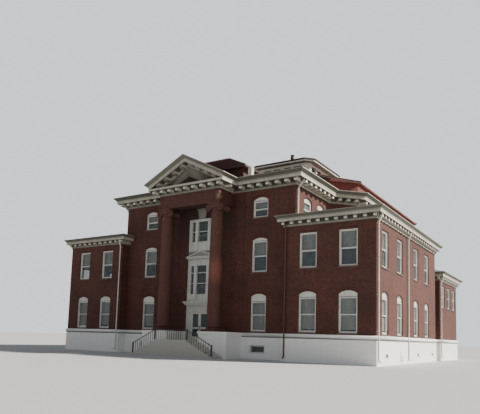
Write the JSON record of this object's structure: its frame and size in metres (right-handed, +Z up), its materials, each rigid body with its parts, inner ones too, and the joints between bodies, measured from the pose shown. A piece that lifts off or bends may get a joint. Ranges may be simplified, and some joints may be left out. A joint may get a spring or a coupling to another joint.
{
  "type": "courthouse",
  "caption": "Three storey brick courthouse with a columned porch and pediment, lower wings and a hipped tile roof under a lantern.",
  "frame": {"origin": "on the ground under the middle of the whole building", "axes": "+X to the right seen from the front, +Y towards the back, +Z up"},
  "size_m": [32.206, 32.93, 21.4419],
  "materials": {
    "brick_shade": "matte",
    "painted_base": "matte paint",
    "floor_boards": "satin",
    "trim_paint": "matte",
    "column_paint": "weathered paint",
    "attic_paint": "matte",
    "roof_tile": "matte",
    "roof_metal": "matte",
    "window_glass": "clear",
    "step_stone": "matte",
    "dark_iron": "satin"
  },
  "bodies": {
    "building": {"attic_walls": "attic_paint", "belt_course": "brick_shade", "canted_walls": "brick_shade", "capitals": "column_paint", "columns": "column_paint", "crown_roof": "roof_tile", "door_bay": "trim_paint", "downspouts": "roof_metal", "flights": "step_stone", "front_roof": "roof_metal", "front_wall_head": "brick_shade", "front_wall_left": "brick_shade", "front_wall_right": "brick_shade", "hall_roof": "roof_tile", "hall_walls": "brick_shade", "keystone": "trim_paint", "landing": "step_stone", "lantern_roof": "roof_tile", "lantern_walls": "trim_paint", "main_cornice": "trim_paint", "main_floors": "floor_boards", "main_foundation": "painted_base", "main_modillions": "trim_paint", "pedestals": "painted_base", "pediment": "trim_paint", "porch_beam": "column_paint", "porch_ceiling": "trim_paint", "porch_roof": "roof_tile", "rear_wing_cornices": "trim_paint", "rear_wing_floors": "floor_boards", "rear_wing_foundations": "painted_base", "rear_wing_roofs": "roof_metal", "rear_wing_walls": "brick_shade", "roof_vent": "attic_paint", "shoulder_walls": "brick_shade", "stair_rails": "dark_iron", "tympanum": "brick_shade", "window_frames": "trim_paint", "window_glass": "window_glass", "window_sills": "trim_paint", "wing_cornices": "trim_paint", "wing_end_walls": "brick_shade", "wing_floors": "floor_boards", "wing_foundations": "painted_base", "wing_modillions": "trim_paint", "wing_roofs": "roof_metal", "wing_side_walls": "brick_shade"},
    "left_leaf": {"door_left": "trim_paint", "door_glass_left": "window_glass", "door_pulls_left": "dark_iron"},
    "right_leaf": {"door_right": "trim_paint", "door_glass_right": "window_glass", "door_pulls_right": "dark_iron"}
  },
  "joints": [
    {"name": "left_leaf_hinge", "type": "hinge", "parent": "building", "child": "left_leaf", "pos_m": [-0.865, -12.765, 1.3], "axis": [0, 0, -1], "range_deg": [0, 90]},
    {"name": "right_leaf_hinge", "type": "hinge", "parent": "building", "child": "right_leaf", "pos_m": [0.865, -12.765, 1.3], "axis": [0, 0, 1], "range_deg": [0, 90]}
  ]
}
